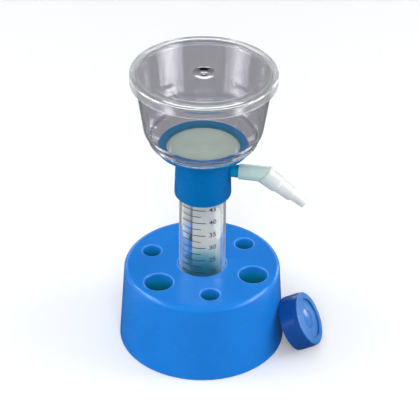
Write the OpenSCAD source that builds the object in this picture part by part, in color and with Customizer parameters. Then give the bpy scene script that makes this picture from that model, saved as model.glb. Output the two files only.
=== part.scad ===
// Vacuum filtration unit: a screw-on bottle-top filter funnel on a conical
// 50 mL tube, standing in a round tube stand, with the tube's own screw cap
// leaning against the stand. Millimetres, +Z up, origin on the stand's axis
// at the bench.

/* [Stand] */
// Outer diameter of the stand where it meets the bench
stand_foot_d = 104; // [102:0.5:108]
// Outer diameter of the stand at its top, before the edge is rounded
stand_top_d = 97; // [95:0.2:100]
// Height of the stand
stand_h = 52.8; // [50:0.2:60]
// Radius of the rounded top edge
stand_edge_r = 3.5; // [3:0.5:7]
// Wall thickness of the moulded shell
stand_wall = 2.4; // [2:0.1:2.8]
// Wall thickness of the sockets that hang from the top
socket_wall = 1.8; // [1.4:0.1:2]
// Radius of the ring on which the six outer sockets lie
socket_ring_r = 34; // [33:0.5:35]
// Direction of the first small socket, in degrees
socket_turn = -81.5; // [-120:0.5:-60]
// Bore of the sockets for 15 mL tubes
large_bore_d = 17.4; // [17:0.1:18]
// Height of the floor of the 15 mL sockets above the bench
large_floor_z = 4; // [3:0.5:12]
// Bore of the sockets for microtubes
small_bore_d = 11.4; // [11:0.1:12]
// Height of the floor of the microtube sockets above the bench
small_floor_z = 4; // [3:0.5:20]
// Bore of the centre socket
centre_bore_d = 29.6; // [29.4:0.1:30]
// Radius of the rounded mouth of every socket
mouth_r = 1.1; // [0.6:0.1:1.4]

/* [Tube] */
// Outer diameter of the conical tube
tube_d = 28.8; // [28.4:0.1:29]
// Wall thickness of the conical tube
tube_wall = 1.25; // [1:0.05:1.5]
// Length of the conical tube
tube_len = 114; // [110:0.5:116]
// Height of the conical end
tube_cone_h = 15; // [13:0.5:17]
// Diameter of the flat tip
tube_tip_d = 4.4; // [3:0.2:6]
// Height of the tip above the bench
tube_tip_z = 5.5; // [4:0.5:8]

/* [Screw cap] */
// Outer diameter of the cap
cap_d = 34.9; // [34.5:0.1:36]
// Height of the cap
cap_h = 12.6; // [12:0.1:14]
// Bore of the cap, where the thread is
cap_bore_d = 31; // [30.6:0.1:31.4]
// Tilt of the cap's axis above the bench as it leans, in degrees
cap_tilt = 29.5; // [25:0.5:33]
// Direction in which the cap leans, in degrees
cap_turn = -12.4; // [-60:0.2:-5]

/* [Filter base] */
// Outer diameter of the screw collar near its mouth
collar_d = 34.9; // [34.5:0.1:36]
// Outer diameter of the collar's neck under the flange
neck_d = 33; // [32.6:0.1:33.4]
// Bore of the screw collar
collar_bore_d = 31; // [30.6:0.1:31.2]
// Depth of the screw collar's bore
collar_depth = 16.4; // [14:0.2:18]
// Thickness of the seal between the tube's rim and the collar
seal_t = 1.2; // [1:0.1:1.5]
// Diameter of the flange that carries the funnel
flange_d = 56.4; // [56:0.2:57]
// Height of the flange's top above the tube's rim
flange_z = 20.7; // [20.2:0.1:21.5]
// Thickness of the flange at its edge
flange_t = 2; // [1.6:0.1:2.2]
// Diameter of the membrane
membrane_d = 44.6; // [44:0.2:45]
// Thickness of the membrane
membrane_t = 0.3; // [0.2:0.05:0.4]
// Number of ribs under the membrane
rib_count = 16; // [8:4:20]
// Outer diameter of the vacuum port
port_d = 7.8; // [7.4:0.1:8]
// Bore of the vacuum port
port_bore_d = 4; // [3:0.2:4]
// Distance from the axis to the end of the vacuum port
port_reach = 30; // [27:0.5:32]
// Height of the vacuum port above the tube's rim
port_z = 3.7; // [3.6:0.1:4.5]
// Direction of the vacuum port, in degrees
port_turn = -10.5; // [-30:0.5:0]

/* [Funnel and lid] */
// Outer diameter of the funnel's wall at its rim
funnel_rim_d = 82.6; // [82:0.2:83]
// Height of the funnel, from the flange to its rim
funnel_h = 47.9; // [46:0.1:50]
// Wall thickness of the funnel
funnel_wall = 1.6; // [1.4:0.1:1.8]
// Outer diameter of the lid
lid_d = 87.8; // [87.6:0.1:88.6]
// Thickness of the lid's plate
lid_t = 1.6; // [1.4:0.1:2]
// Height of the lid, with its skirt
lid_h = 6.3; // [5:0.1:7]
// Thickness of the lid's skirt
skirt_t = 1.2; // [1:0.05:1.25]

/* [Hose connector] */
// Diameter of the sleeve that slides over the vacuum port
sleeve_d = 9.6; // [9.4:0.1:10]
// Distance from the axis to the sleeve's mouth
sleeve_start = 22.3; // [20:0.1:23]
// Distance from the axis to the bend
bend_reach = 38; // [36:0.5:40]
// Angle of the bend below level, in degrees
bend_angle = 36.5; // [30:0.5:40]
// Clearance between the port and the sleeve, on the radius
port_clear = 0.07; // [0.04:0.01:0.1]

/* [Hidden] */

stand_blue = [0.12, 0.5, 0.86];
deep_blue = [0.05, 0.38, 0.7];

// Heights that follow from the sizes above
rim_z = tube_tip_z + tube_len;          // rim of the tube
seat_z = rim_z + seal_t;                // shoulder above the seal
mouth_z = seat_z - collar_depth;        // mouth of the screw collar
top_z = rim_z + flange_z;               // top of the flange
under_z = top_z - flange_t;             // underside of the flange's edge
mem_z = top_z - 2.5;                    // underside of the membrane
port_axis_z = rim_z + port_z;
funnel_top_z = top_z + funnel_h;
lid_top_z = funnel_top_z + lid_t;

// Points on an arc about [cx, cz], from angle a0 to a1
function arc(cx, cz, r, a0, a1, n) =
    [for (i = [0:n]) let (a = a0 + (a1 - a0) * i / n) [cx + r * cos(a), cz + r * sin(a)]];

// Slope of the stand's side wall, and the radii that follow from it
draft = atan((stand_foot_d - stand_top_d) / 2 / stand_h);
foot_r = stand_foot_d / 2;
function wall_r(z) = foot_r - z * tan(draft);
edge_c = wall_r(stand_h - stand_edge_r) - stand_edge_r / cos(draft);

// The shell of the stand: outside up, over the rounded edge, and back inside
module stand_shell() {
    e = 0.8;
    rotate_extrude($fn = 180)
        polygon(concat(
            [[foot_r - stand_wall / cos(draft), 0]],
            arc(wall_r(e) - e / cos(draft), e, e, -90, draft, 4),
            arc(edge_c, stand_h - stand_edge_r, stand_edge_r, draft, 90, 10),
            [[0, stand_h], [0, stand_h - stand_wall]],
            arc(edge_c, stand_h - stand_edge_r, stand_edge_r - stand_wall, 90, draft, 8)
        ));
}

// Body of one socket, a cup that hangs from the top
module socket_cup(bore_d, floor_z) {
    translate([0, 0, floor_z - socket_wall])
        cylinder(d = bore_d + 2 * socket_wall, h = stand_h - 1 - floor_z + socket_wall, $fn = 64);
}

// Bore of one socket, with its rounded mouth
module socket_bore(bore_d, floor_z) {
    r = bore_d / 2;
    rotate_extrude($fn = 72)
        polygon(concat(
            [[0, floor_z], [r, floor_z]],
            [for (i = [0:6]) let (a = 15 * i) [r + mouth_r - mouth_r * cos(a), stand_h - mouth_r + mouth_r * sin(a)]],
            [[r + mouth_r, stand_h + 1], [0, stand_h + 1]]
        ));
}

// Places its children at the three sockets that start at angle a
module on_ring(a) {
    for (k = [0:2]) rotate(a + 120 * k) translate([socket_ring_r, 0, 0]) children();
}

// Round stand: a shell open underneath, with a centre socket that reaches the
// bench and holds a conical seat, three sockets for 15 mL tubes and three for
// microtubes
module tube_stand() {
    cr = centre_bore_d / 2;
    seat_top = tube_tip_z + tube_cone_h;
    color(stand_blue)
    difference() {
        union() {
            stand_shell();
            on_ring(socket_turn - 60) socket_cup(large_bore_d, large_floor_z);
            on_ring(socket_turn) socket_cup(small_bore_d, small_floor_z);
            rotate_extrude($fn = 120)
                polygon([[0, 0], [7, 0], [7, tube_tip_z - 1.5], [cr + 0.2, seat_top - 1.4],
                         [cr + 0.2, 0], [cr + 2, 0], [cr + 2, stand_h - 1], [0, stand_h - 1]]);
        }
        on_ring(socket_turn - 60) socket_bore(large_bore_d, large_floor_z);
        on_ring(socket_turn) socket_bore(small_bore_d, small_floor_z);
        rotate_extrude($fn = 120)
            polygon(concat(
                [[0, tube_tip_z], [tube_tip_d / 2 + 0.5, tube_tip_z], [cr, seat_top]],
                [for (i = [0:6]) let (a = 15 * i) [cr + mouth_r - mouth_r * cos(a), stand_h - mouth_r + mouth_r * sin(a)]],
                [[cr + mouth_r, stand_h + 1], [0, stand_h + 1]]
            ));
    }
}

// Conical 50 mL tube
module centrifuge_tube() {
    r = tube_d / 2;
    ri = r - tube_wall;
    tr = tube_tip_d / 2;
    color([0.85, 0.88, 0.88, 0.5])
    translate([0, 0, tube_tip_z])
        rotate_extrude($fn = 120)
            polygon(concat(
                [[0, 0], [tr - 0.4, 0], [tr, 0.25]],
                [[r, tube_cone_h]],
                arc(r - 0.5, tube_len - 0.5, 0.5, 0, 90, 4),
                arc(ri + 0.3, tube_len - 0.3, 0.3, 90, 180, 3),
                [[ri, tube_cone_h + 0.4], [tr - 0.6, 1.5], [0, 1.3]]
            ));
}

// Screw cap in its own frame: open rim down, closed face up
module cap_body() {
    r = cap_d / 2;
    b = cap_bore_d / 2;
    e = 0.4;
    f = cap_h - 1.2;
    c = cap_h - 3;
    rotate_extrude($fn = 120)
        polygon(concat(
            [[b + 0.3, 0]],
            arc(r - e, e, e, -90, 0, 3),
            arc(r - 1.3, cap_h - 1, 1, 0, 90, 5),
            [[13, cap_h], [12.8, cap_h - 0.2], [12.6, f]],
            [for (i = [0:6]) let (q = 6.4 * (1 - i / 6)) [q, f - 0.8 * (1 - (q / 6.4) * (q / 6.4))]],
            [[0, c], [11.8, c], [11.9, c - 2], [12.5, c - 2], [12.9, c], [b, c], [b, 0.5]]
        ));
}

// The cap leans with its open rim against the stand: its lowest edge is on the
// bench and its highest edge is at the stand's wall
cap_e = 0.4;
cap_k = cap_d / 2 - cap_e;
cap_cz = cap_k * cos(cap_tilt) + cap_e - cap_e * sin(cap_tilt);
cap_tz = cap_cz + cap_e * sin(cap_tilt) + cap_k * cos(cap_tilt);
cap_cs = (foot_r * cos(draft) + cap_e + 0.05 - cap_tz * sin(draft)) / cos(draft)
         - cap_e * cos(cap_tilt) + cap_k * sin(cap_tilt);

module screw_cap() {
    color(deep_blue)
    rotate(cap_turn) translate([cap_cs, 0, cap_cz]) rotate([0, 90 - cap_tilt, 0]) cap_body();
}

// Flat ring between the tube's rim and the collar's shoulder
module tube_seal() {
    color([0.9, 0.9, 0.88])
    translate([0, 0, rim_z])
        difference() {
            cylinder(d = collar_bore_d - 0.6, h = seal_t, $fn = 96);
            translate([0, 0, -1]) cylinder(d = 26.3, h = seal_t + 2, $fn = 96);
        }
}

// Filter base: screw collar, neck with the vacuum port, drip spout, ribbed
// drain dish and the flange, moulded as one piece
module filter_base() {
    cb = collar_bore_d / 2;
    co = collar_d / 2;
    nk = neck_d / 2;
    fr = flange_d / 2;
    mr = membrane_d / 2;
    chamber_r = 13.2;
    ceil_z = top_z - 8.8;
    dish_r = mr - 1.6;
    spout_r = 4.8;
    // height of the drain dish's floor at radius r
    function dish_z(r) = ceil_z + 2.4 + (mem_z - 1.2 - ceil_z - 2.4) * (r - 3.2) / (dish_r - 3.2);
    color(deep_blue)
    difference() {
        union() {
            rotate_extrude($fn = 144)
                polygon(concat(
                    [[cb, mouth_z]],
                    arc(co - 2.1, mouth_z + 2.3, 2.1, -78, 0, 7),
                    [[nk, ceil_z + 1.2]],
                    arc(nk + 2, ceil_z + 1.2, 2, 180, 112, 5),
                    [[fr - 1.6, under_z - 0.1]],
                    arc(fr - 0.4, under_z + 0.4, 0.4, -90, 0, 3),
                    arc(fr - 0.4, top_z - 0.4, 0.4, 0, 90, 3),
                    [[mr + 0.3, top_z], [mr + 0.1, top_z - 0.2], [mr + 0.1, mem_z], [dish_r, mem_z],
                     [dish_r, mem_z - 1.2], [3.2, ceil_z + 2.4], [3.2, rim_z - 7],
                     [spout_r - 0.4, rim_z - 7], [spout_r, rim_z - 6.6], [spout_r, ceil_z],
                     [chamber_r, ceil_z], [chamber_r, seat_z], [cb, seat_z]]
                ));
            // ribs that carry the membrane
            for (k = [0:rib_count - 1])
                let (r0 = k % 2 == 0 ? 4.2 : 10)
                    rotate([90, 0, 360 / rib_count * k]) translate([0, 0, -0.5])
                        linear_extrude(height = 1)
                            polygon([[r0, dish_z(r0) - 0.5], [dish_r + 0.4, dish_z(dish_r) - 0.3],
                                     [dish_r + 0.4, mem_z], [r0, mem_z]]);
            // the port grows out of the collar's wall, clear of the bore and the seal
            rotate(port_turn) translate([cb + 0.3, 0, port_axis_z]) rotate([0, 90, 0])
                cylinder(d = port_d, h = port_reach - cb - 0.3, $fn = 64);
        }
        rotate(port_turn) translate([9, 0, port_axis_z]) rotate([0, 90, 0])
            cylinder(d = port_bore_d, h = port_reach, $fn = 48);
    }
}

// Filter membrane, sealed on its seat in the filter base
module filter_membrane() {
    color([0.9, 0.93, 0.9])
    translate([0, 0, mem_z]) cylinder(d = membrane_d, h = membrane_t, $fn = 144);
}

// Clear funnel: rim bead, tapered wall, rounded shoulder, short step, and a
// cone down to the flange it is welded on
sh_z = top_z + 13.7;                    // centre height of the shoulder's arc
sh_c = funnel_rim_d / 2 - 15.2;         // centre radius of the shoulder's arc
module funnel() {
    w = funnel_wall;
    rr = funnel_rim_d / 2;
    fr = flange_d / 2;
    z0 = top_z;
    z1 = funnel_top_z;
    color([0.88, 0.9, 0.91, 0.35])
    rotate_extrude($fn = 180)
        polygon(concat(
            [[fr - 1.4, z0], [fr - 0.1, z0], [fr + 0.3, z0 + 0.3], [fr + 4.3, z0 + 3.7]],
            [[fr + 4.8, z0 + 4.9]],
            arc(sh_c, sh_z, 10, -44, -8.2, 8),
            [[rr - 0.35, z1 - 2.6]],
            arc(rr + 0.4, z1 - 1.8, 0.5, -90, 0, 3),
            arc(rr + 0.5, z1 - 0.4, 0.4, 0, 90, 3),
            arc(rr - w + 0.4, z1 - 0.4, 0.4, 90, 180, 3),
            arc(sh_c, sh_z, 10 - w, -8.2, -44, 8),
            [[fr + 3.2, z0 + 5.6], [fr + 2.7, z0 + 4.5], [fr - 1.4, z0 + 1]]
        ));
}

// Clear slip-on lid, with a shallow dimple and a nub at its gate
module lid() {
    r = lid_d / 2;
    color([0.9, 0.92, 0.93, 0.3])
    rotate_extrude($fn = 180)
        polygon(concat(
            [[0, lid_top_z - lid_t]],
            [[r - skirt_t - 0.3, lid_top_z - lid_t], [r - skirt_t, lid_top_z - lid_t - 0.3],
             [r - skirt_t, lid_top_z - lid_h + 0.2], [r - skirt_t + 0.2, lid_top_z - lid_h]],
            arc(r - 0.3, lid_top_z - lid_h + 0.3, 0.3, -90, 0, 3),
            arc(r - 0.8, lid_top_z - 0.8, 0.8, 0, 90, 5),
            [for (i = [0:8]) let (q = 6.7 - 4.9 * i / 8) [q, lid_top_z - 0.75 * (1 - pow((q - 1.8) / 4.9, 2))]],
            [[1.5, lid_top_z - 0.35], [1, lid_top_z - 0.15], [0, lid_top_z - 0.1]]
        ));
}

// Hose connector: a sleeve that turns on the vacuum port, and a stepped,
// tapered barb bent downwards
module hose_connector() {
    sr = sleeve_d / 2;
    bore = port_d / 2 + port_clear;
    far = 2 * bend_reach;
    color([0.88, 0.92, 0.91, 0.8])
    rotate(port_turn) translate([0, 0, port_axis_z])
    difference() {
        union() {
            // sleeve, cut square to the barb where they meet
            difference() {
                translate([sleeve_start, 0, 0]) rotate([0, 90, 0])
                    cylinder(r = sr, h = bend_reach - sleeve_start + 6, $fn = 72);
                translate([bend_reach, 0, 0]) rotate([0, bend_angle, 0])
                    translate([0, -far / 2, -far / 2]) cube([far, far, far]);
            }
            translate([bend_reach, 0, 0]) rotate([0, 90 + bend_angle, 0])
                rotate_extrude($fn = 72)
                    polygon([[0, -0.4], [5.5, -0.4], [5.9, -0.2], [6, 0.2],
                             [5.65, 9.5], [5.45, 10.1], [5.05, 10.4],
                             [4.95, 10.6], [4.4, 20.3], [4.2, 20.9], [3.8, 21.2],
                             [3.25, 21.4], [2.8, 30.2], [2.5, 30.7], [0, 30.7]]);
        }
        // socket for the port, then the airway
        translate([sleeve_start - 1, 0, 0]) rotate([0, 90, 0])
            cylinder(r = bore, h = port_reach + 0.3 - sleeve_start + 1, $fn = 64);
        translate([sleeve_start, 0, 0]) rotate([0, 90, 0])
            cylinder(r = 2, h = bend_reach - sleeve_start + 0.6, $fn = 40);
        translate([bend_reach, 0, 0]) rotate([0, 90 + bend_angle, 0])
            translate([0, 0, -0.5]) cylinder(r = 1.6, h = 32, $fn = 40);
    }
}

tube_stand();
centrifuge_tube();
screw_cap();
tube_seal();
filter_base();
filter_membrane();
funnel();
lid();
hose_connector();
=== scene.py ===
import math

import bpy
from mathutils import Matrix, Vector


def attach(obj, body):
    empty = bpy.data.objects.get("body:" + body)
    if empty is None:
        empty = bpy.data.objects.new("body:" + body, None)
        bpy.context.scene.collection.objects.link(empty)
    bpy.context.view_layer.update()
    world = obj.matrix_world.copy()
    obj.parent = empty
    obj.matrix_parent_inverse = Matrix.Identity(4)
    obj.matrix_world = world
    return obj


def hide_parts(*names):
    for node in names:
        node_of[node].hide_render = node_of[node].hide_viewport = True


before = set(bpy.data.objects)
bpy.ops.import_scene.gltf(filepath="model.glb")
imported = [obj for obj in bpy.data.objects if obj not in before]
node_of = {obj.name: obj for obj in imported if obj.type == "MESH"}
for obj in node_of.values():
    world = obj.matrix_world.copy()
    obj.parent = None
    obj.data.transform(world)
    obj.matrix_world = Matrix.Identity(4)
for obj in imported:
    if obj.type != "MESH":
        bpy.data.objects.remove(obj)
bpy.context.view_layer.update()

scene = bpy.context.scene
MM = 0.001


# ---------------------------------------------------------------- camera

def aim_camera():
    """The camera at the photograph's viewing angle: 1.26 m away, looking down 34 degrees."""
    pitch, yaw, roll = 0.5896, 0.0045, 0.0124
    forward = Vector((math.sin(yaw) * math.cos(pitch), math.cos(yaw) * math.cos(pitch), -math.sin(pitch)))
    right = Vector((math.cos(yaw), -math.sin(yaw), 0))
    up = right.cross(forward)
    r = math.cos(roll) * right + math.sin(roll) * up
    u = math.cos(roll) * up - math.sin(roll) * right
    data = bpy.data.cameras.new("camera")
    data.sensor_width = 36
    data.lens = 168.18
    data.clip_start = 0.01
    data.clip_end = 60
    cam = bpy.data.objects.new("camera", data)
    m = Matrix((r, u, -forward)).transposed().to_4x4()
    m.translation = Vector((0, -1.0, 0.763003))
    cam.matrix_world = m
    scene.collection.objects.link(cam)
    scene.camera = cam


aim_camera()


# ---------------------------------------------------------------- sizes, in mm

TIP_Z, RIM_Z = 5.5, 119.5            # the tube's tip and rim
SEAT_Z, MOUTH_Z = 120.7, 104.3       # shoulder and mouth of the screw collar
TOP_Z = 140.2                        # top of the flange
FUNNEL_TOP = 188.1                   # rim of the funnel
LID_TOP = 189.7
TUBE_R, TUBE_WALL = 14.4, 1.25
FUNNEL_R, FLANGE_R = 41.3, 28.2
LID_R = 43.9
PORT_TURN, PORT_Z = -10.5, 123.2
THREAD_LEAD = 4.0


# ---------------------------------------------------------------- mesh helpers

def arc(cx, cz, r, a0, a1, n):
    """Points on an arc about (cx, cz), from angle a0 to a1 in degrees."""
    out = []
    for i in range(n + 1):
        a = math.radians(a0 + (a1 - a0) * i / n)
        out.append((cx + r * math.cos(a), cz + r * math.sin(a)))
    return out


def new_object(name, verts, faces, body, sharp=30.0, place=None):
    """A smooth-shaded mesh object from points in mm, with edges over the sharp angle kept crisp."""
    mesh = bpy.data.meshes.new(name)
    mesh.from_pydata([Vector(v) * MM for v in verts], [], faces)
    if place is not None:
        mesh.transform(place)
    mesh.validate()
    mesh.shade_smooth()
    mesh.set_sharp_from_angle(angle=math.radians(sharp))
    mesh.update()
    obj = bpy.data.objects.new(name, mesh)
    scene.collection.objects.link(obj)
    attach(obj, body)
    return obj


def guarded(profile, gap=0.05, least=0.35):
    """The profile with a point close to each corner on the long runs beside it, so that flats shade flat."""
    out, n = [], len(profile)

    def heading(p, q):
        return math.atan2(q[1] - p[1], q[0] - p[0])

    def bent(i):
        a, b, c = profile[i - 1], profile[i % n], profile[(i + 1) % n]
        turn = heading(b, c) - heading(a, b)
        return abs(math.atan2(math.sin(turn), math.cos(turn))) > math.radians(0.6)

    for i in range(n):
        p, q = profile[i], profile[(i + 1) % n]
        out.append(p)
        run = math.hypot(q[0] - p[0], q[1] - p[1])
        if run < least or (p[0] < 1e-6 and q[0] < 1e-6):
            continue
        f = gap / run
        if bent(i) and p[0] > 1e-6:
            out.append((p[0] + (q[0] - p[0]) * f, p[1] + (q[1] - p[1]) * f))
        if bent(i + 1) and q[0] > 1e-6:
            out.append((q[0] + (p[0] - q[0]) * f, q[1] + (p[1] - q[1]) * f))
    return out


def lathe(profile, n, shift=None):
    """Points and faces of a closed solid of revolution. profile runs round the section
    anticlockwise in (r, z), and a point on the axis makes a pole. shift(r, z, a) moves a
    point outwards, for threads."""
    verts, rings = [], []
    for r, z in guarded(profile):
        if r < 1e-6:
            rings.append([len(verts)])
            verts.append((0.0, 0.0, z))
            continue
        ring = []
        for k in range(n):
            a = 2 * math.pi * k / n
            q = r + (shift(r, z, a) if shift else 0.0)
            ring.append(len(verts))
            verts.append((q * math.cos(a), q * math.sin(a), z))
        rings.append(ring)
    faces = []
    for i, low in enumerate(rings):
        high = rings[(i + 1) % len(rings)]
        if len(low) == 1 and len(high) == 1:
            continue
        for k in range(n):
            j = (k + 1) % n
            if len(low) == 1:
                faces.append((low[0], high[j], high[k]))
            elif len(high) == 1:
                faces.append((low[k], low[j], high[0]))
            else:
                faces.append((low[k], low[j], high[j], high[k]))
    return verts, faces


def fine(p, q, step):
    """Points from p to q no further apart than step, without q."""
    n = max(1, int(math.ceil(math.hypot(q[0] - p[0], q[1] - p[1]) / step)))
    return [(p[0] + (q[0] - p[0]) * i / n, p[1] + (q[1] - p[1]) * i / n) for i in range(n)]


def ridge(z, a, z_low, turns, phase, width=1.5):
    """Height from 0 to 1 of a helical thread ridge at height z and angle a, with both ends run out."""
    best = 0.0
    for k in range(-1, int(turns) + 2):
        t = a / (2 * math.pi) + k - phase
        if t < 0 or t > turns:
            continue
        d = abs(z - (z_low + THREAD_LEAD * t))
        run = min(1.0, t / 0.12, (turns - t) / 0.12)
        h = min(1.0, max(0.0, (width - d) / (width * 0.55))) * max(0.0, run)
        best = max(best, h * h * (3 - 2 * h))
    return best


# ---------------------------------------------------------------- materials

class Tree:
    """Short names for building one material's nodes."""

    def __init__(self, name):
        self.mat = bpy.data.materials.new(name)
        self.mat.use_nodes = True
        self.nt = self.mat.node_tree
        self.nt.nodes.clear()
        self.out = self.node("ShaderNodeOutputMaterial")

    def node(self, kind, **props):
        n = self.nt.nodes.new(kind)
        for k, v in props.items():
            setattr(n, k, v)
        return n

    def link(self, a, b):
        self.nt.links.new(a, b)

    def place(self, scale=1000.0):
        """Object coordinates, in mm."""
        coord = self.node("ShaderNodeTexCoord")
        m = self.node("ShaderNodeMapping")
        m.inputs["Scale"].default_value = (scale, scale, scale)
        self.link(coord.outputs["Object"], m.inputs["Vector"])
        return m.outputs["Vector"]

    def noise(self, where, scale, detail=2.0, rough=0.5):
        n = self.node("ShaderNodeTexNoise")
        n.inputs["Scale"].default_value = scale
        n.inputs["Detail"].default_value = detail
        n.inputs["Roughness"].default_value = rough
        self.link(where, n.inputs["Vector"])
        return n.outputs["Fac"]

    def span(self, value, lo, hi, from_lo=0.3, from_hi=0.7):
        """value, mapped from one range to another."""
        m = self.node("ShaderNodeMapRange")
        m.inputs["From Min"].default_value = from_lo
        m.inputs["From Max"].default_value = from_hi
        m.inputs["To Min"].default_value = lo
        m.inputs["To Max"].default_value = hi
        self.link(value, m.inputs["Value"])
        return m.outputs["Result"]

    def maths(self, operation, a, b=None):
        n = self.node("ShaderNodeMath", operation=operation)
        for i, v in enumerate((a, b)):
            if v is None:
                continue
            if isinstance(v, (int, float)):
                n.inputs[i].default_value = v
            else:
                self.link(v, n.inputs[i])
        return n.outputs["Value"]

    def blend(self, fac, a, b):
        """A colour between a and b."""
        n = self.node("ShaderNodeMix", data_type="RGBA")
        self.link(fac, n.inputs["Factor"])
        for v, s in ((a, n.inputs["A"]), (b, n.inputs["B"])):
            if isinstance(v, tuple):
                s.default_value = (*v, 1)
            else:
                self.link(v, s)
        return n.outputs["Result"]

    def bump(self, height, strength, distance, normal=None):
        n = self.node("ShaderNodeBump")
        n.inputs["Strength"].default_value = strength
        n.inputs["Distance"].default_value = distance
        self.link(height, n.inputs["Height"])
        if normal is not None:
            self.link(normal, n.inputs["Normal"])
        return n.outputs["Normal"]

    def principled(self, **values):
        n = self.node("ShaderNodeBsdfPrincipled")
        for k, v in values.items():
            s = n.inputs[k.replace("_", " ")]
            if isinstance(v, bpy.types.NodeSocket):
                self.link(v, s)
            elif isinstance(v, tuple) and len(v) == 3 and s.type == "RGBA":
                s.default_value = (*v, 1)
            else:
                s.default_value = v
        return n

    def along(self, where, axis, start=(0, 0, 0)):
        """How far where lies along an axis from start, in mm."""
        rel = self.node("ShaderNodeVectorMath", operation="SUBTRACT")
        self.link(where, rel.inputs[0])
        rel.inputs[1].default_value = start
        dot = self.node("ShaderNodeVectorMath", operation="DOT_PRODUCT")
        self.link(rel.outputs["Vector"], dot.inputs[0])
        dot.inputs[1].default_value = axis
        return dot.outputs["Value"]

    def radius(self, where):
        """How far where lies from the Z axis, in mm."""
        flat = self.node("ShaderNodeVectorMath", operation="MULTIPLY")
        self.link(where, flat.inputs[0])
        flat.inputs[1].default_value = (1, 1, 0)
        size = self.node("ShaderNodeVectorMath", operation="LENGTH")
        self.link(flat.outputs["Vector"], size.inputs[0])
        return size.outputs["Value"]

    def finish(self, shader):
        self.link(shader, self.out.inputs["Surface"])
        return self.mat


def rgb(text):
    """A linear colour from a hex one."""
    out = []
    for i in (0, 2, 4):
        c = int(text[i:i + 2], 16) / 255
        out.append(c / 12.92 if c <= 0.04045 else ((c + 0.055) / 1.055) ** 2.4)
    return tuple(out)


def moulded(name, colour, deep, rough=(0.3, 0.38), grain=0.00002, grain_scale=1.4, **more):
    """Opaque moulded plastic: faint flow in its colour, a fine tool texture, uneven gloss."""
    t = Tree(name)
    where = t.place()
    flow = t.noise(where, 0.045, 3.0, 0.55)
    texture = t.noise(where, grain_scale, 3.0, 0.6)
    wear = t.noise(where, 0.2, 4.0, 0.6)
    colour_socket = t.blend(t.span(flow, 0, 1), colour, deep)
    normal = t.bump(texture, 0.35, grain)
    p = t.principled(Base_Color=colour_socket, Roughness=t.span(wear, *rough), Normal=normal, **more)
    return t.finish(p.outputs["BSDF"])


def clear_plastic(name, tint, lamp_tint, rough=(0.015, 0.05), ior=1.5, wave=0.00001, clear=1.0, sheen=0.0):
    """Clear moulded plastic. Light from the lamps passes it almost straight, as through a thin wall."""
    t = Tree(name)
    where = t.place()
    haze = t.noise(where, 0.12, 3.0, 0.55)
    flow = t.noise(where, 0.25, 2.0, 0.5)
    normal = t.bump(flow, 0.4, wave)
    p = t.principled(Base_Color=tint, Roughness=t.span(haze, *rough), IOR=ior,
                     Transmission_Weight=clear, Normal=normal)
    if sheen:
        p.inputs["Sheen Weight"].default_value = sheen
        p.inputs["Sheen Roughness"].default_value = 0.35
    lamp = t.node("ShaderNodeBsdfTransparent")
    lamp.inputs["Color"].default_value = (*lamp_tint, 1)
    path = t.node("ShaderNodeLightPath")
    mix = t.node("ShaderNodeMixShader")
    t.link(path.outputs["Is Shadow Ray"], mix.inputs[0])
    t.link(p.outputs["BSDF"], mix.inputs[1])
    t.link(lamp.outputs["BSDF"], mix.inputs[2])
    return t.finish(mix.outputs["Shader"])



def stand_material():
    """The stand's blue, with painted light and shade: a painted highlight, a light blue ring, round the mouth of each
    well on the top, and painted shade, a deep green-teal, down in the wells.
    """
    t = Tree("stand_blue")
    where = t.place()
    flow = t.noise(where, 0.045, 3.0, 0.55)
    texture = t.noise(where, 1.4, 3.0, 0.6)
    wear = t.noise(where, 0.2, 4.0, 0.6)
    axes = t.node("ShaderNodeSeparateXYZ")
    t.link(where, axes.inputs["Vector"])
    level = t.node("ShaderNodeCombineXYZ")
    t.link(axes.outputs["X"], level.inputs["X"])
    t.link(axes.outputs["Y"], level.inputs["Y"])
    inside = rim_glints = None
    wells = [(0.0, 0.0, 14.8)]
    for k in range(3):
        for turn, r in ((-81.5, 5.7), (-141.5, 8.7)):
            a = math.radians(turn + 120 * k)
            wells.append((34 * math.cos(a), 34 * math.sin(a), r))
    for x, y, r in wells:
        apart = t.node("ShaderNodeVectorMath", operation="DISTANCE")
        t.link(level.outputs["Vector"], apart.inputs[0])
        apart.inputs[1].default_value = (x, y, 0)
        here = t.span(apart.outputs["Value"], 1, 0, r + 0.15, r + 0.6)
        inside = here if inside is None else t.maths("MAXIMUM", inside, here)
        # painted highlight: a light ring just outside each well's mouth
        rim = t.maths("MULTIPLY", t.span(apart.outputs["Value"], 0, 1, r + 0.2, r + 0.6),
                      t.span(apart.outputs["Value"], 1, 0, r + 0.7, r + 1.2))
        rim_glints = rim if rim_glints is None else t.maths("MAXIMUM", rim_glints, rim)
    # painted shade: teal in the wells, from none at 52 mm down to full at 43 mm
    deep = t.maths("MULTIPLY", inside, t.span(axes.outputs["Z"], 0, 1, 52.0, 43.0))
    skin = t.blend(t.span(flow, 0, 1), rgb("1e82e0"), rgb("1a7cd8"))
    # the painted highlight is kept to the top, from 51.6 mm up, at up to 0.27 of its light blue
    rim_glints = t.maths("MULTIPLY", rim_glints, t.span(axes.outputs["Z"], 0, 0.27, 51.6, 52.4))
    skin = t.blend(rim_glints, skin, rgb("a4d2f6"))
    colour = t.blend(deep, skin, rgb("0b90aa"))
    p = t.principled(Base_Color=colour, Roughness=t.span(wear, 0.2, 0.28),
                     Normal=t.bump(texture, 0.35, 0.000006), Specular_IOR_Level=0.16)
    return t.finish(p.outputs["BSDF"])


mat_stand = stand_material()
PORT_AXIS = (math.cos(math.radians(PORT_TURN)), math.sin(math.radians(PORT_TURN)), 0.0)


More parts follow.
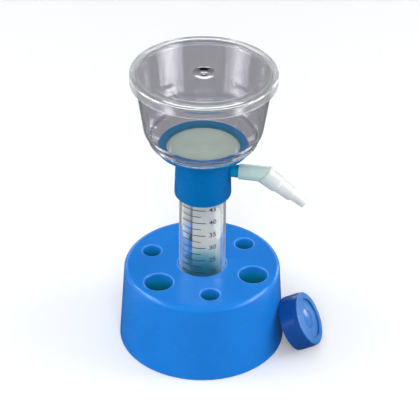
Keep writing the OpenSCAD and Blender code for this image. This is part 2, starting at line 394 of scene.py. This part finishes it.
def base_material():
    """The filter base's blue, with painted shade and light: the flange ring seen through the funnel is painted a
    deeper teal for shade, darkest at its inner side, and the thin port is painted a lighter, greener blue for the
    light that comes through the hose connector.
    """
    t = Tree("filter_blue")
    where = t.place()
    flow = t.noise(where, 0.045, 3.0, 0.55)
    colour = t.blend(t.span(flow, 0, 1), rgb("006eb5"), rgb("0067ab"))
    # painted shade: the teal of the flange ring, darker within 22.6 mm of the axis
    ring = t.blend(t.span(t.radius(where), 0, 1, 22.6, 24.4), rgb("00627c"), rgb("00669c"))
    colour = t.blend(t.span(t.along(where, (0, 0, 1)), 0, 1, 137.9, 138.3), colour, ring)
    # painted light: the greener blue of the port, past 17.6 mm out and below 128 mm
    port = t.maths("MULTIPLY", t.span(t.along(where, PORT_AXIS), 0, 1, 17.6, 18.0),
                   t.span(t.along(where, (0, 0, 1)), 1, 0, 128.0, 129.0))
    colour = t.blend(port, colour, rgb("008fae"))
    p = t.principled(Base_Color=colour, Roughness=t.span(t.noise(where, 0.2, 4.0, 0.6), 0.25, 0.33),
                     Normal=t.bump(t.noise(where, 1.4, 3.0, 0.6), 0.35, 0.000006), Specular_IOR_Level=0.05)
    return t.finish(p.outputs["BSDF"])


def cap_material():
    """The cap's blue, with painted light and shade: paler on the matt top that lies to the light, which is painted
    light, and darker in a band on its recess wall, which is painted shade.
    """
    t = Tree("cap_blue")
    where = t.place()
    flow = t.noise(where, 0.045, 3.0, 0.55)
    side = t.blend(t.span(flow, 0, 1), rgb("004a92"), rgb("004386"))
    # painted light: a paler blue for the top, which lies to the light
    painted_lit_top = t.blend(t.span(flow, 0, 1), rgb("2075c4"), rgb("1c6fbc"))
    axis, rim = (0.85005, -0.1869, 0.49242), (57.12, -12.56, 15.04)
    out = t.along(where, axis, rim)
    colour = t.blend(t.span(out, 0, 1, 11.0, 11.35), side, painted_lit_top)
    apart = t.node("ShaderNodeVectorMath", operation="DISTANCE")
    t.link(where, apart.inputs[0])
    apart.inputs[1].default_value = tuple(a * 12.0 + b for a, b in zip(axis, rim))
    # painted shade: a darker band on the recess wall
    wall = t.maths("MULTIPLY", t.span(apart.outputs["Value"], 0, 1, 12.5, 12.65), t.span(out, 1, 0, 12.25, 12.4))
    colour = t.blend(wall, colour, rgb("0a4c98"))
    p = t.principled(Base_Color=colour, Roughness=t.span(t.noise(where, 0.2, 4.0, 0.6), 0.26, 0.34),
                     Normal=t.bump(t.noise(where, 1.4, 3.0, 0.6), 0.35, 0.00001), Specular_IOR_Level=0.3)
    return t.finish(p.outputs["BSDF"])


mat_base = base_material()
mat_cap = cap_material()
mat_seal = moulded("seal_rubber", rgb("dcdcd6"), rgb("d0d0ca"), rough=(0.5, 0.6), grain=0.00001)
mat_funnel = clear_plastic("funnel_clear", rgb("e2e0e3"), (0.93, 0.93, 0.93), ior=1.52)
mat_lid = clear_plastic("lid_clear", rgb("e4e3e6"), (0.93, 0.93, 0.93), ior=1.52)
mat_rim = clear_plastic("rim_frosted", rgb("f2f4f5"), (0.85, 0.85, 0.85), rough=(0.02, 0.05), ior=1.52, clear=0.74)
mat_tube = clear_plastic("tube_clear", rgb("f3f6f5"), (0.97, 0.97, 0.97), rough=(0.03, 0.08), ior=1.49, sheen=0.8)


def connector_material():
    t = Tree("connector_white")
    where = t.place()
    flow = t.noise(where, 0.12, 3.0, 0.55)
    texture = t.noise(where, 1.6, 3.0, 0.6)
    out = t.along(where, PORT_AXIS)
    # painted light: near the port the plastic is tinted teal, for the blue of the port showing through; further out
    # it has its own white
    painted_sleeve_tint = t.blend(t.span(flow, 0, 1), rgb("cde8e4"), rgb("c0ddd9"))
    barb = t.blend(t.span(flow, 0, 1), rgb("ebeeee"), rgb("e1e6e6"))
    p = t.principled(Base_Color=t.blend(t.span(out, 0, 1, 33.0, 46.0), painted_sleeve_tint, barb),
                     Roughness=t.span(t.noise(where, 0.3, 3.0), 0.3, 0.42),
                     Transmission_Weight=0.18, IOR=1.49,
                     Normal=t.bump(texture, 0.35, 0.00001))
    p.inputs["Subsurface Weight"].default_value = 0.5
    p.inputs["Subsurface Radius"].default_value = (1.0, 1.0, 1.0)
    p.inputs["Subsurface Scale"].default_value = 0.002
    return t.finish(p.outputs["BSDF"])


def membrane_material():
    t = Tree("membrane_white")
    where = t.place()
    fibres = t.noise(where, 3.5, 4.0, 0.7)
    patch = t.noise(where, 0.08, 2.0)
    # painted shade: the white membrane is given a dim grey-green, for the shade and tint it lies in under the lid and
    # funnel; the mottling is random
    p = t.principled(Base_Color=t.blend(t.span(patch, 0, 1), rgb("b1bfb2"), rgb("a6b3a8")),
                     Roughness=t.span(fibres, 0.75, 0.95),
                     Normal=t.bump(fibres, 0.5, 0.00003))
    return t.finish(p.outputs["BSDF"])


def ink(name, colour, rough):
    t = Tree(name)
    where = t.place()
    worn = t.noise(where, 2.5, 3.0, 0.6)
    p = t.principled(Base_Color=t.blend(t.span(worn, 0, 1, 0.35, 0.75), colour, tuple(min(1, c * 1.3 + 0.01) for c in colour)),
                     Roughness=t.span(worn, rough, rough + 0.12),
                     Normal=t.bump(worn, 0.3, 0.000004))
    return t.finish(p.outputs["BSDF"])


mat_connector = connector_material()
mat_membrane = membrane_material()
mat_ink = ink("print_black", rgb("16191b"), 0.45)


def patch_material():
    """White print, painted with the shade and blue light of the stand's bore on the part of it that stands in there:
    a light teal from 57 mm down to 48 mm, and a deep teal from 53 mm down to 40 mm.
    """
    t = Tree("print_white")
    where = t.place()
    worn = t.noise(where, 2.5, 3.0, 0.6)
    axes = t.node("ShaderNodeSeparateXYZ")
    t.link(where, axes.inputs["Vector"])
    white = t.blend(t.span(worn, 0, 1, 0.35, 0.75), rgb("e2e1e2"), rgb("d6d4d6"))
    # painted light and shade: light teal where the print goes into the bore
    painted_bore_tint = t.blend(t.span(axes.outputs["Z"], 0, 1, 57.0, 48.0), white, rgb("8fc4d0"))
    # painted shade: deep teal lower in the bore
    colour = t.blend(t.span(axes.outputs["Z"], 0, 1, 53.0, 40.0), painted_bore_tint, rgb("0780a4"))
    p = t.principled(Base_Color=colour, Roughness=t.span(worn, 0.5, 0.62), Normal=t.bump(worn, 0.3, 0.000004))
    return t.finish(p.outputs["BSDF"])


mat_patch = patch_material()


def dress(obj, mat):
    obj.data.materials.clear()
    obj.data.materials.append(mat)


def dress_part(obj, mat, inside):
    """Gives a second material to the faces whose middle, in mm, satisfies inside(r, z)."""
    obj.data.materials.append(mat)
    for f in obj.data.polygons:
        c = f.center / MM
        if inside(math.hypot(c.x, c.y), c.z):
            f.material_index = 1


def dress_cad(node, mat):
    """Gives a carried-over CAD node its material, without touching its mesh."""
    obj = node_of[node]
    for s in obj.material_slots:
        s.material = mat


dress_cad("tube_stand", mat_stand)
dress_cad("filter_base", mat_base)
dress_cad("tube_seal", mat_seal)
dress_cad("filter_membrane", mat_membrane)
dress_cad("hose_connector", mat_connector)


# ---------------------------------------------------------------- the tube

def build_tube():
    r, ri, tr = TUBE_R, TUBE_R - TUBE_WALL, 2.2
    z0 = TIP_Z + 0.02
    cone_top = TIP_Z + 15
    outside = [(0, z0), (tr - 0.4, z0), (tr, z0 + 0.25)]
    outside += fine((tr, z0 + 0.25), (r, cone_top), 2.0)[1:]
    outside += arc(r - 6, cone_top + 1.4, 6, -28, 0, 6)[3:]
    outside += fine((r, cone_top + 2.2), (r, 105.6), 4.0)
    outside += fine((r, 105.6), (r, RIM_Z - 0.7), 0.22)
    outside += arc(r - 0.5, RIM_Z - 0.52, 0.5, 0, 90, 6)
    inside = arc(ri + 0.3, RIM_Z - 0.32, 0.3, 90, 180, 5)
    inside += fine((ri, RIM_Z - 0.7), (ri, cone_top + 0.4), 8.0)
    inside += fine((ri, cone_top + 0.4), (tr - 0.6, TIP_Z + 1.5), 2.0)
    inside += [(tr - 0.6, TIP_Z + 1.5), (0, TIP_Z + 1.3)]

    def thread(q, z, a):
        if q < r - 0.01 or z < 105.5 or z > RIM_Z - 0.6:
            return 0.0
        return 0.75 * ridge(z, a, 108.6, 1.75, 0.1, 1.0)

    verts, faces = lathe(outside + inside, 224, thread)
    tube = new_object("conical_tube", verts, faces, "stand", sharp=40)
    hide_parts("centrifuge_tube")
    dress(tube, mat_tube)
    return tube


def on_tube(a_deg, z, lift):
    """A point on the tube's outside at an angle from -Y towards +X."""
    a = math.radians(a_deg - 90)
    return ((TUBE_R + lift) * math.cos(a), (TUBE_R + lift) * math.sin(a), z)


def band(a0, a1, z0, z1, lift=0.012, thick=0.02, corner=0.0, step=2.0):
    """A thin curved plate on the tube's outside, closed all round, with corners rounded by corner mm."""
    na = max(2, int(math.ceil(abs(a1 - a0) / step)))
    cols = []
    width = math.radians(a1 - a0) * TUBE_R
    for i in range(na + 1):
        f = i / na
        s = min(f, 1 - f) * width
        cut = 0.0
        if corner > 0 and s < corner:
            cut = corner - math.sqrt(max(0.0, corner * corner - (corner - s) ** 2))
        cols.append((a0 + (a1 - a0) * f, z0 + cut, z1 - cut))
    verts, faces = [], []
    for a, lo, hi in cols:
        for lf in (lift, lift + thick):
            verts.append(on_tube(a, lo, lf))
            verts.append(on_tube(a, hi, lf))
    for i in range(na):
        b, c = 4 * i, 4 * (i + 1)
        faces += [(b + 2, c + 2, c + 3, b + 3), (b + 1, c + 1, c, b),
                  (b, c, c + 2, b + 2), (b + 3, c + 3, c + 1, b + 1)]
    e = 4 * na
    faces += [(0, 2, 3, 1), (e + 1, e + 3, e + 2, e)]
    return verts, faces


def joined(parts):
    verts, faces = [], []
    for v, f in parts:
        k = len(verts)
        verts += v
        faces += [tuple(i + k for i in g) for g in f]
    return verts, faces


MARK_45, MARK_STEP = 100.97, 9.23    # height of the 45 mL mark, and the drop to the next


def build_marks():
    parts = []
    for i in range(9):
        z = MARK_45 - MARK_STEP * i
        if z < 22:
            break
        parts.append(band(-56, 8, z - 0.29, z + 0.29))
        if z - MARK_STEP / 2 > 22:
            parts.append(band(-56, -4, z - MARK_STEP / 2 - 0.26, z - MARK_STEP / 2 + 0.26))
    verts, faces = joined(parts)
    marks = new_object("graduation_lines", verts, faces, "stand", sharp=30)
    dress(marks, mat_ink)

    for i, text in enumerate(("45", "40", "35", "30", "25", "20", "15", "10")):
        z = MARK_45 - MARK_STEP * i
        curve = bpy.data.curves.new("digits_" + text, "FONT")
        curve.body = text
        curve.size = 4.5
        curve.align_x, curve.align_y = "CENTER", "CENTER"
        curve.resolution_u = 3
        curve.extrude = 0.01
        curve.offset = 0.055
        temp = bpy.data.objects.new("digits_temp", curve)
        mesh = bpy.data.meshes.new_from_object(temp)
        for v in mesh.vertices:
            x, y, d = v.co
            a = 26 + math.degrees(1.12 * x / TUBE_R)
            v.co = Vector(on_tube(a, z + y, 0.022 + d)) * MM
        mesh.name = "figures_" + text
        mesh.update()
        obj = bpy.data.objects.new("figures_" + text, mesh)
        scene.collection.objects.link(obj)
        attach(obj, "stand")
        dress(obj, mat_ink)
        bpy.data.objects.remove(temp)
        bpy.data.curves.remove(curve)

    verts, faces = band(121, 208, 30, 87.5, corner=2.2, step=1.5)
    patch = new_object("writing_patch", verts, faces, "stand", sharp=30)
    dress(patch, mat_patch)


build_tube()
build_marks()


# ---------------------------------------------------------------- screw cap

def build_cap():
    r, b, e, h = 17.45, 15.5, 0.4, 12.6
    f, c = h - 1.2, h - 3
    prof = [(b + 0.3, 0)] + arc(r - e, e, e, -90, 0, 5)
    prof += fine((r, e + 0.2), (r, h - 1.1), 2.5)[1:]
    prof += arc(r - 1.3, h - 1, 1, 0, 90, 8)
    prof += arc(13.2, h - 0.2, 0.2, 90, 170, 4)
    prof += [(12.8, h - 0.5), (12.68, f + 0.12), (12.55, f)]
    prof += [(q, f) for q in (11, 9, 7.2)]
    for i in range(13):
        q = 6.4 * (1 - i / 12)
        prof.append((q, f + 1.1 * (1 - (q / 6.4) ** 2)))
    prof += [(0, c), (11.8, c), (11.9, c - 2), (12.1, c - 2.15), (12.35, c - 2.15), (12.5, c - 2), (12.9, c), (b, c)]
    prof += fine((b, c), (b, 0.5), 0.25)[1:] + [(b, 0.5)]

    def thread(q, z, a):
        if abs(q - b) > 0.01 or z < 0.8 or z > c - 0.3:
            return 0.0
        return -0.75 * ridge(z, a, 2.2, 1.5, 0.3, 0.95)

    verts, faces = lathe(prof, 192, thread)
    foot_r, top_r, stand_h = 52.0, 48.5, 52.8
    draft = math.atan((foot_r - top_r) / stand_h)
    tilt, turn = math.radians(29.5), math.radians(-12.4)
    k = r - e
    cz = k * math.cos(tilt) + e - e * math.sin(tilt)
    tz = cz + e * math.sin(tilt) + k * math.cos(tilt)
    cs = (foot_r * math.cos(draft) + e + 0.05 - tz * math.sin(draft)) / math.cos(draft) - e * math.cos(tilt) + k * math.sin(tilt)
    place = (Matrix.Rotation(turn, 4, "Z") @ Matrix.Translation(Vector((cs, 0, cz)) * MM)
             @ Matrix.Rotation(math.radians(90) - tilt, 4, "Y"))
    cap = new_object("tube_cap", verts, faces, "stand", sharp=35, place=place)
    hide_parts("screw_cap")
    dress(cap, mat_cap)


build_cap()


# ---------------------------------------------------------------- collar thread

def build_collar_thread():
    """The ridge of the collar's thread, standing on the collar's bore midway between the turns of the tube's."""
    r0, low, turns = 15.5, 108.6, 2.4
    n = int(turns * 96)
    verts, faces = [], []
    for i in range(n + 1):
        t = turns * i / n
        run = max(0.04, min(1.0, t / 0.12, (turns - t) / 0.12))
        a = 2 * math.pi * (t + 0.6)
        z = low + THREAD_LEAD * t
        for q, d in ((0.1, -0.9 * run - 0.1), (-0.72 * run, -0.35 * run - 0.02), (-0.72 * run, 0.35 * run + 0.02), (0.1, 0.9 * run + 0.1)):
            verts.append(((r0 + q) * math.cos(a), (r0 + q) * math.sin(a), z + d))
    for i in range(n):
        b, c = 4 * i, 4 * (i + 1)
        faces += [(b, c, c + 1, b + 1), (b + 1, c + 1, c + 2, b + 2), (b + 2, c + 2, c + 3, b + 3), (b + 3, c + 3, c, b)]
    faces += [(0, 1, 2, 3), (4 * n + 3, 4 * n + 2, 4 * n + 1, 4 * n)]
    thread = new_object("collar_thread", verts, faces, "filter", sharp=50)
    dress(thread, mat_base)


build_collar_thread()


# ---------------------------------------------------------------- funnel and lid

def build_funnel():
    w, rr, fr, z0, z1 = 1.6, FUNNEL_R, FLANGE_R, TOP_Z - 0.04, FUNNEL_TOP
    sc, sz = rr - 15.2, TOP_Z + 13.7
    prof = [(fr - 1.4, z0), (fr - 0.1, z0)] + arc(fr - 0.05, z0 + 0.35, 0.35, -90, -30, 4)[1:]
    prof += [(fr + 4.3, z0 + 3.7)] + arc(fr + 3.7, z0 + 4.5, 1.1, -35, 0, 5)[1:]
    prof += arc(sc, sz, 10, -44, -8.2, 22)
    lean = math.tan(math.radians(8.2))
    prof += fine(prof[-1], (rr - 0.35, z1 - 2.6), 4.0)[1:] + [(rr - 0.35, z1 - 2.6)]
    prof += arc(rr + 0.4, z1 - 1.9, 0.4, -90, -2, 6)
    prof += arc(rr + 0.46, z1 - 0.4, 0.4, -2, 90, 6)
    prof += arc(rr - w + 0.4, z1 - 0.4, 0.4, 90, 180, 6)
    inner = arc(sc, sz, 10 - w, -8.2, -44, 20)
    prof += fine(prof[-1], inner[0], 4.0)[1:] + inner
    prof += [(fr + 3.2, z0 + 5.6), (fr + 2.95, z0 + 5.05), (fr + 2.7, z0 + 4.5), (fr - 1.4, z0 + 1)]
    verts, faces = lathe(prof, 288)
    funnel = new_object("filter_funnel", verts, faces, "filter", sharp=42)
    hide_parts("funnel")
    dress(funnel, mat_funnel)


def build_lid():
    r, t, h, s = LID_R, 1.6, 6.3, 1.2
    z = LID_TOP
    low = z - t + 0.02
    prof = [(0, low)] + [(q, low) for q in (8, 20, 32)]
    prof += [(r - s - 0.3, low)] + arc(r - s - 0.3, low - 0.3, 0.3, 90, 0, 4)[1:]
    prof += [(r - s, z - h + 0.2), (r - s + 0.06, z - h + 0.06), (r - s + 0.2, z - h)]
    prof += arc(r - 0.3, z - h + 0.3, 0.3, -90, 0, 5)
    prof += arc(r - 0.8, z - 0.8, 0.8, 0, 90, 10)
    prof += [(42.4, z), (42.2, z), (42.0, z - 0.02), (40.0, z - 0.36), (39.8, z - 0.38), (39.0, z - 0.38)]
    for q, drop in ((38.4, 0.46), (34.3, 0.54)):
        prof += [(q + 0.2, z - drop + 0.08), (q + 0.15, z - drop + 0.075), (q, z - drop + 0.04), (q - 0.15, z - drop + 0.005), (q - 0.2, z - drop)]
    z -= 0.54
    prof += [(q, z) for q in (30, 22, 14, 9.6, 9.0)]
    prof += [(8.8, z + 0.02), (8.5, z + 0.06), (8.2, z + 0.06), (7.9, z + 0.01), (7.4, z - 0.03)]
    prof += fine((6.9, z - 0.1), (3.6, z - 0.83), 0.5)
    prof += [(3.6, z - 0.83), (3.3, z - 0.87), (3.1, z - 0.88), (2.8, z - 0.88)]
    prof += fine((2.6, z - 0.86), (0.8, z - 0.46), 0.4) + [(0.8, z - 0.46), (0.4, z - 0.41), (0, z - 0.4)]
    verts, faces = lathe(prof, 288)
    lid = new_object("funnel_lid", verts, faces, "lid", sharp=42)
    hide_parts("lid")
    dress(lid, mat_lid)
    dress_part(lid, mat_rim, lambda q, z: q > 39.0 and z > LID_TOP - 0.7)


build_funnel()
build_lid()


# ---------------------------------------------------------------- floor and light

def build_floor():
    size = 6.0
    mesh = bpy.data.meshes.new("floor")
    mesh.from_pydata([(-size, -size, 0), (size, -size, 0), (size, size, 0), (-size, size, 0)], [], [(0, 1, 2, 3)])
    mesh.update()
    floor = bpy.data.objects.new("floor", mesh)
    scene.collection.objects.link(floor)
    t = Tree("floor_pale")
    path = t.node("ShaderNodeLightPath")
    apart = t.node("ShaderNodeVectorMath", operation="LENGTH")
    t.link(t.place(1.0), apart.inputs[0])
    # painted shade: seen through the clear parts the floor is grey, darkest within 0.1 m of the middle and lighter
    # out to 0.24 m
    behind = t.blend(t.span(apart.outputs["Value"], 0, 1, 0.1, 0.24), (0.19, 0.19, 0.2), (0.44, 0.44, 0.455))
    # painted reflection: in reflections the floor is dark but for an over-bright ring, which the lid's skirt mirrors
    # as a light band
    pale = t.maths("MULTIPLY", t.span(apart.outputs["Value"], 0, 1, 0.32, 0.34), t.span(apart.outputs["Value"], 1, 0, 0.37, 0.39))
    mirrored = t.blend(pale, (0.12, 0.125, 0.13), (1.8, 1.85, 1.85))
    seen = t.blend(path.outputs["Is Glossy Ray"], (0.5, 0.5, 0.5), mirrored)
    seen = t.blend(path.outputs["Is Transmission Ray"], seen, behind)
    colour = t.blend(path.outputs["Is Camera Ray"], seen, (1.0, 1.0, 1.0))
    d = t.node("ShaderNodeBsdfDiffuse")
    t.link(colour, d.inputs["Color"])
    lift = t.node("ShaderNodeEmission")
    t.link(t.span(path.outputs["Is Camera Ray"], 0.0, 0.065, 0, 1), lift.inputs["Strength"])
    both = t.node("ShaderNodeAddShader")
    t.link(d.outputs["BSDF"], both.inputs[0])
    t.link(lift.outputs["Emission"], both.inputs[1])
    floor.data.materials.append(t.finish(both.outputs["Shader"]))


def area(name, where, to, size, power, colour=(1, 1, 1), size_y=None, gloss_only=False, glow=None):
    """A soft lamp. glow is the (level, middle, width) of a lamp that is brighter along its middle."""
    data = bpy.data.lights.new(name, "AREA")
    data.energy = power
    data.color = colour
    data.size = size
    if size_y:
        data.shape = "RECTANGLE"
        data.size_y = size_y
    lamp = bpy.data.objects.new(name, data)
    lamp.location = where
    lamp.rotation_euler = (Vector(to) - Vector(where)).to_track_quat("-Z", "Y").to_euler()
    lamp.visible_camera = False
    if gloss_only:
        # seen in reflections, but not straight through a clear wall, nor after a dull surface; its low
        # power, made up in the shader, keeps the renderer from sampling it for dull surfaces
        lamp.visible_diffuse = False
        data.energy = power / 60
        data.use_nodes = True
        nt = data.node_tree
        path = nt.nodes.new("ShaderNodeLightPath")

        def maths(operation, a, b=0.0):
            n = nt.nodes.new("ShaderNodeMath")
            n.operation = operation
            for i, v in enumerate((a, b)):
                if isinstance(v, (int, float)):
                    n.inputs[i].default_value = v
                else:
                    nt.links.new(v, n.inputs[i])
            return n.outputs["Value"]

        dull = maths("GREATER_THAN", path.outputs["Diffuse Depth"], 0.5)
        through = maths("MULTIPLY", maths("GREATER_THAN", path.outputs["Transmission Depth"], 0.5),
                        maths("LESS_THAN", path.outputs["Glossy Depth"], 0.5))
        level = maths("SUBTRACT", 1.0, maths("MAXIMUM", dull, through))
        if glow:
            low, middle, width = glow
            along = nt.nodes.new("ShaderNodeSeparateXYZ")
            nt.links.new(nt.nodes.new("ShaderNodeNewGeometry").outputs["Parametric"], along.inputs["Vector"])
            away = maths("DIVIDE", maths("SUBTRACT", along.outputs["X"], middle), width)
            peak = maths("EXPONENT", maths("MULTIPLY", maths("MULTIPLY", away, away), -1.0))
            peak = maths("MULTIPLY_ADD", peak, 1.0 - low)
            peak.node.inputs[2].default_value = low
            ends = maths("MULTIPLY", maths("MULTIPLY", along.outputs["X"], maths("SUBTRACT", 1.0, along.outputs["X"])), 16.0)
            level = maths("MULTIPLY", level, maths("MULTIPLY", peak, maths("MINIMUM", ends, 1.0)))
        nt.links.new(maths("MULTIPLY", level, 60.0), nt.nodes["Emission"].inputs["Strength"])
    scene.collection.objects.link(lamp)
    return lamp


def build_light():
    world = bpy.data.worlds.new("studio")
    world.use_nodes = True
    nt = world.node_tree
    sky = nt.nodes["Background"]
    sky.inputs["Color"].default_value = (0.94, 0.97, 1.0, 1)
    path = nt.nodes.new("ShaderNodeLightPath")
    levels = []
    for low, high, kind in ((0.5, 0.12, "Is Glossy Ray"), (0.0, 1.2, "Is Transmission Ray")):
        n = nt.nodes.new("ShaderNodeMapRange")
        n.inputs["To Min"].default_value = low
        n.inputs["To Max"].default_value = high
        nt.links.new(path.outputs[kind], n.inputs["Value"])
        levels.append(n.outputs["Result"])
        if kind == "Is Glossy Ray":
            # the studio's pale horizon, for reflections
            axes = nt.nodes.new("ShaderNodeSeparateXYZ")
            nt.links.new(nt.nodes.new("ShaderNodeTexCoord").outputs["Generated"], axes.inputs["Vector"])
            low_sky = nt.nodes.new("ShaderNodeMapRange")
            for socket, value in (("From Min", 0.46), ("From Max", 0.26), ("To Min", high), ("To Max", 0.4)):
                low_sky.inputs[socket].default_value = value
            nt.links.new(axes.outputs["Z"], low_sky.inputs["Value"])
            nt.links.new(low_sky.outputs["Result"], n.inputs["To Max"])
    level = nt.nodes.new("ShaderNodeMath")
    level.operation = "MAXIMUM"
    nt.links.new(levels[0], level.inputs[0])
    nt.links.new(levels[1], level.inputs[1])
    nt.links.new(level.outputs["Value"], sky.inputs["Strength"])
    scene.world = world
    target = (0, 0, 0.09)
    # the big soft lamps shine fainter in reflections than they light
    for name, where, size, power, gloss in (("top", (0, -0.1, 1.5), 1.2, 1.4, 0.5), ("left", (-1.1, 0.0, 0.5), 0.7, 5.7, 0.3),
                                            ("right", (1.1, 0.0, 0.5), 0.7, 5.9, 0.3), ("front", (0, -1.6, 1.1), 1.0, 16.5, 0.35)):
        area(name, where, target, size, power).visible_glossy = False
        area(name + "_gloss", where, target, size, power * gloss, gloss_only=True)
    area("edge_left", (-0.93, -0.04, 0.68), target, 0.7, 22.0, size_y=0.16, gloss_only=True)
    area("edge_right", (0.95, -0.02, 0.68), target, 0.6, 19.0, size_y=0.16, gloss_only=True)
    area("back", (0, 1.3, 0.38), target, 3.0, 12.5, size_y=0.3, gloss_only=True)
    area("back_right", (0.8, 0.66, 0.16), (0.06, -0.01, 0.02), 0.3, 2.8, gloss_only=True)
    for side, name in ((-1, "strip_left"), (1, "strip_right")):
        area(name, (side * 0.242, -0.11, 0.1), (-side * 0.02, 0.036, 0.1), 0.278, 0.9 if side < 0 else 1.34, size_y=0.092,
             gloss_only=True, glow=(0.29, 0.5, 0.2))
        area(name + "_low", (side * 0.21, -0.168, 0.041), (-side * 0.052, -0.021, 0.041), 0.106, 0.034, size_y=0.024,
             gloss_only=True, glow=(0.0, 0.5, 0.3))
        area(name.replace("strip", "pool"), (side * 0.14, 0.0, 0.002), (side * 0.14, 0.0, 1), 0.05, 0.04, size_y=0.15,
             gloss_only=True)


build_floor()
build_light()
scene.view_settings.view_transform = "Standard"

bpy.context.view_layer.update()
